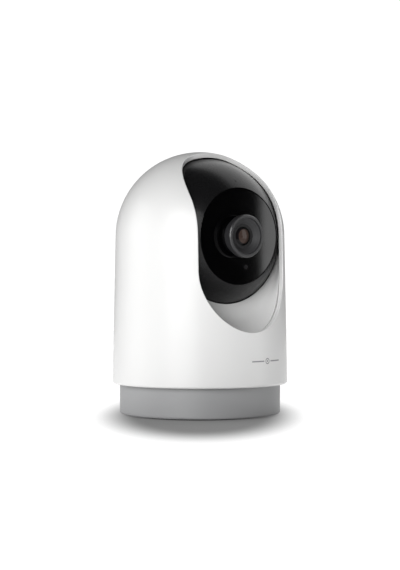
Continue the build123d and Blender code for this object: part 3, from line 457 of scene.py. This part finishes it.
def coated_glass_painted_reflection():
    """Dark glass with a painted reflection: a brown disc to one side of its middle and a greenish ring at the
    edge.
    """
    finish = Finish("coated_lens_glass_painted_reflection", (0.02, 0.014, 0.012), 0.02, IOR=1.5, Specular_IOR_Level=0.12)
    radius = distance_from(finish, 0.0, BALL_Z)
    painted_reflection_distance = distance_from(finish, PAINTED_REFLECTION_SIDE, BALL_Z)
    # Painted reflection: a brown disc off the middle, mixed into the dark base colour.
    painted_reflection_disc = 1.0 - painted_reflection_distance.step(PAINTED_REFLECTION_R, PAINTED_REFLECTION_R + 0.0004)
    depth = finish.mix(painted_reflection_disc, (0.010, 0.009, 0.010, 1.0), (0.075, 0.050, 0.042, 1.0))
    # Painted reflection: a greenish ring towards the edge of the glass.
    painted_rim_reflection = radius.step(0.0036, 0.0045)
    finish.feed("Base Color", finish.mix(painted_rim_reflection * 0.7, depth, (0.012, 0.020, 0.018, 1.0)))
    finish.feed("Roughness", 0.015 + finish.noise(600.0, 2.0) * 0.02)
    return finish.material


LENS_GLASS_PAINTED_REFLECTION = coated_glass_painted_reflection()

# %% [markdown]
# ## Electronics
# Solder mask shows the copper under it as a slightly paler green, in straight tracks. A brick pattern at
# the scale of a millimetre gives that look. Chips are matt epoxy, lamps are clear epoxy over a die.

# %% Boards, chips and lamps
def circuit_board():
    """Green solder mask over a pattern of tracks."""
    finish = Finish("green_solder_mask", (0.012, 0.085, 0.042), 0.32, Coat_Weight=0.4, Coat_Roughness=0.15)
    tracks = finish.node("ShaderNodeTexBrick", {"offset": 0.35}, {
        "Vector": finish.place(), "Scale": 260.0, "Mortar Size": 0.06, "Mortar Smooth": 0.3,
        "Color1": (0, 0, 0, 1), "Color2": (0, 0, 0, 1), "Mortar": (1, 1, 1, 1)}, "Fac")
    finish.feed("Base Color", finish.mix(tracks, (0.012, 0.085, 0.042, 1.0), (0.03, 0.16, 0.075, 1.0)))
    finish.feed("Roughness", 0.28 + finish.noise(900.0, 2.0) * 0.12)
    finish.bump(tracks, 1.5e-5)
    return finish.material


def clear_lamp():
    """Pale cloudy epoxy under a glossy coat; no die is drawn."""
    finish = Finish("clear_epoxy_lamp", (0.62, 0.60, 0.52), 0.12, Coat_Weight=0.8, Coat_Roughness=0.04)
    cloud = finish.noise(1400.0, 3.0)
    finish.feed("Base Color", finish.mix(cloud, (0.42, 0.40, 0.34, 1.0), (0.75, 0.73, 0.66, 1.0)))
    finish.feed("Roughness", 0.08 + cloud * 0.1)
    finish.bump(cloud, 6e-6)
    return finish.material


BOARD_GREEN = circuit_board()
LAMP_CLEAR = clear_lamp()
print("finishes made:", len(bpy.data.materials))

# %% [markdown]
# ## Handing out the finishes
# Each part names a material slot in the record. One table turns a slot into a finish, and a part's own
# material slots are replaced with it. The lens hood and the printed housing get their own finish after
# that. The shapes are left as they are.

# %% Finish of every part
FINISHES = {
    "white_shell": SHELL_WHITE,
    "grey_plastic": BASE_GREY,
    "soft_rubber": RUBBER_BLACK,
    "brass": BRASS,
    "steel": STEEL,
    "gear_plastic": GEAR_CREAM,
    "frame_plastic": FRAME_BLACK,
    "circuit_board": BOARD_GREEN,
    "chip": CHIP_BLACK,
    "tin": TIN,
    "head_black": BALL_BLACK,
    "window_black": WINDOW_BLACK,
    "bezel_grey": BEZEL_GREY,
    "barrel_black": BARREL_BLACK,
    "lens_glass": LENS_GLASS_PAINTED_REFLECTION,
    "cable": CABLE_BLACK,
    "lamp": LAMP_CLEAR,
    "foam": FOAM_BLACK,
}
SLOT_OF = {part["node"]: part["material_slot"] for part in frame["record"]["subparts"]}


def dress(thing, material):
    """Gives an object one finish."""
    thing.data.materials.clear()
    thing.data.materials.append(material)


for node_name, node_object in NODES.items():
    dress(node_object, FINISHES[SLOT_OF[node_name]])
dress(NODES["lens_hood"], HOOD_BLACK)
dress(NODES["outer_shell"], SHELL_PRINTED)
print("dressed", len(NODES), "parts in", len(set(SLOT_OF.values())), "finishes")
